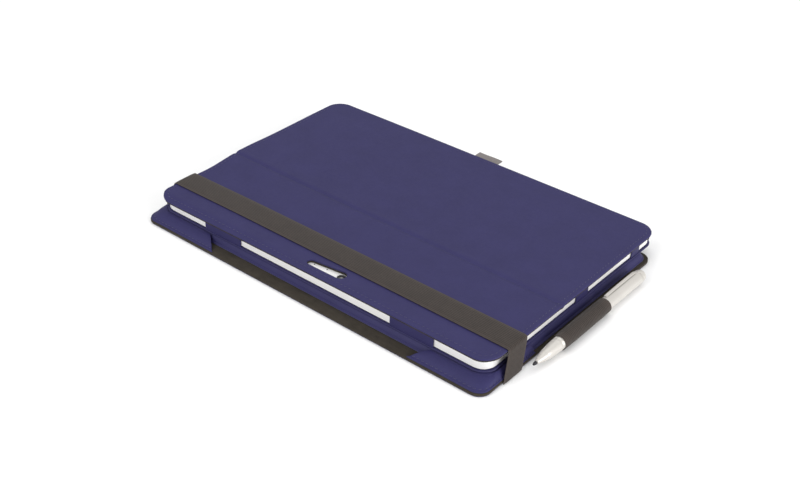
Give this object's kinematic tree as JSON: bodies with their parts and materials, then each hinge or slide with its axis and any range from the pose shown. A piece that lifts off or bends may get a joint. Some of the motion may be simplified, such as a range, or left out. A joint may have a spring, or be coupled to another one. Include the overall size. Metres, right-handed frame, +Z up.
{
  "type": "tablet keyboard case",
  "caption": "Folio keyboard case closed around a tablet, with a stand flap, an elastic closing strap and a stylus in a side loop.",
  "frame": {"origin": "underside of the front cover, below the middle of the tablet", "axes": "+X along the long edges, +Y from the free edge to the hinge edge, +Z up out of the back panel"},
  "size_m": [0.3198, 0.2203, 0.0222],
  "materials": {
    "leatherette": "navy polyurethane leatherette, fine grain, satin",
    "microfibre": "dark warm grey brushed microfibre",
    "board": "grey stiffener board",
    "elastic": "woven dark brown-grey elastic",
    "webbing": "light grey folded ribbon",
    "silver": "matte silver magnesium",
    "screen_glass": "black cover glass over the display",
    "lens": "dark glass lens",
    "battery": "grey foil pouch cell",
    "circuit": "green solder mask",
    "silicone": "grey silicone dome sheet",
    "keyboard_plastic": "black textured plastic",
    "keycaps": "black satin keycap plastic",
    "touchpad": "smooth dark glass-filled plastic",
    "stylus_metal": "satin silver anodised",
    "nib": "dark soft nib"
  },
  "bodies": {
    "front_cover": {"front_cover_skin": "leatherette", "front_cover_board": "board", "front_cover_lining": "microfibre", "keyboard_surround": "leatherette", "corner_pocket_left": "leatherette", "corner_pocket_right": "leatherette", "keyboard_base": "keyboard_plastic", "keyboard_deck": "keyboard_plastic", "keyboard_circuit": "circuit", "dome_sheet": "silicone", "keyboard_battery": "battery", "closing_strap": "elastic", "stylus_loop": "elastic"},
    "spine": {"spine": "leatherette"},
    "tablet_unit": {"screen_frame": "leatherette", "clip_near_left": "leatherette", "clip_near_right": "leatherette", "clip_left_mid": "leatherette", "clip_left_far": "leatherette", "clip_right_mid": "leatherette", "clip_right_far": "leatherette", "tablet_shell": "silver", "tablet_screen": "screen_glass", "tablet_camera": "lens", "tablet_battery": "battery", "tablet_circuit": "circuit", "back_panel": "leatherette", "back_panel_lining": "microfibre", "crease_strip": "leatherette"},
    "kick_flap": {"flap_panel": "leatherette", "flap_lining": "microfibre", "kickstand": "silver", "pull_tab": "webbing"},
    "stylus": {"stylus_barrel": "stylus_metal", "stylus_nib": "nib", "stylus_clip": "stylus_metal"},
    "stylus_button": {"stylus_button": "stylus_metal"},
    "touchpad": {"touchpad": "touchpad"},
    "key_row_function": {"key_row_function": "keycaps"},
    "key_row_number": {"key_row_number": "keycaps"},
    "key_row_upper": {"key_row_upper": "keycaps"},
    "key_row_home": {"key_row_home": "keycaps"},
    "key_row_lower": {"key_row_lower": "keycaps"},
    "key_row_left": {"key_row_left": "keycaps"},
    "space_bar": {"space_bar": "keycaps"},
    "key_row_right": {"key_row_right": "keycaps"}
  },
  "joints": [
    {"name": "spine_fold", "type": "hinge", "parent": "front_cover", "child": "spine", "pos_m": [0, 0.0913, 0.0016], "axis": [-1, 0, 0], "range_deg": [0, 15], "deforming": ["closing_strap"]},
    {"name": "tablet_open", "type": "hinge", "parent": "spine", "child": "tablet_unit", "pos_m": [0, 0.1018, 0.0086], "axis": [-1, 0, 0], "range_deg": [0, 111], "deforming": ["closing_strap"]},
    {"name": "flap_open", "type": "hinge", "parent": "tablet_unit", "child": "kick_flap", "pos_m": [0, -0.0228, 0.0206], "axis": [1, 0, 0], "range_deg": [0, 150], "deforming": ["crease_strip"]},
    {"name": "stylus_pull", "type": "slide", "parent": "front_cover", "child": "stylus", "axis": [0, 1, 0], "range_m": [0, 0.11]},
    {"name": "stylus_button_press", "type": "slide", "parent": "stylus", "child": "stylus_button", "axis": [0, -1, 0], "range_m": [0, 0.0002], "stiffness_N_per_m": 800},
    {"name": "touchpad_click", "type": "slide", "parent": "front_cover", "child": "touchpad", "axis": [0, 0, -1], "range_m": [0, 0.0003], "stiffness_N_per_m": 2000},
    {"name": "key_row_function_press", "type": "slide", "parent": "front_cover", "child": "key_row_function", "axis": [0, 0, -1], "range_m": [0, 0.001], "stiffness_N_per_m": 600},
    {"name": "key_row_number_press", "type": "slide", "parent": "front_cover", "child": "key_row_number", "axis": [0, 0, -1], "range_m": [0, 0.001], "stiffness_N_per_m": 600},
    {"name": "key_row_upper_press", "type": "slide", "parent": "front_cover", "child": "key_row_upper", "axis": [0, 0, -1], "range_m": [0, 0.001], "stiffness_N_per_m": 600},
    {"name": "key_row_home_press", "type": "slide", "parent": "front_cover", "child": "key_row_home", "axis": [0, 0, -1], "range_m": [0, 0.001], "stiffness_N_per_m": 600},
    {"name": "key_row_lower_press", "type": "slide", "parent": "front_cover", "child": "key_row_lower", "axis": [0, 0, -1], "range_m": [0, 0.001], "stiffness_N_per_m": 600},
    {"name": "key_row_left_press", "type": "slide", "parent": "front_cover", "child": "key_row_left", "axis": [0, 0, -1], "range_m": [0, 0.001], "stiffness_N_per_m": 600},
    {"name": "space_bar_press", "type": "slide", "parent": "front_cover", "child": "space_bar", "axis": [0, 0, -1], "range_m": [0, 0.001], "stiffness_N_per_m": 600},
    {"name": "key_row_right_press", "type": "slide", "parent": "front_cover", "child": "key_row_right", "axis": [0, 0, -1], "range_m": [0, 0.001], "stiffness_N_per_m": 600}
  ],
  "couplings": [
    {"joint": "spine_fold", "follows": "tablet_open", "ratio": 0.135}
  ]
}
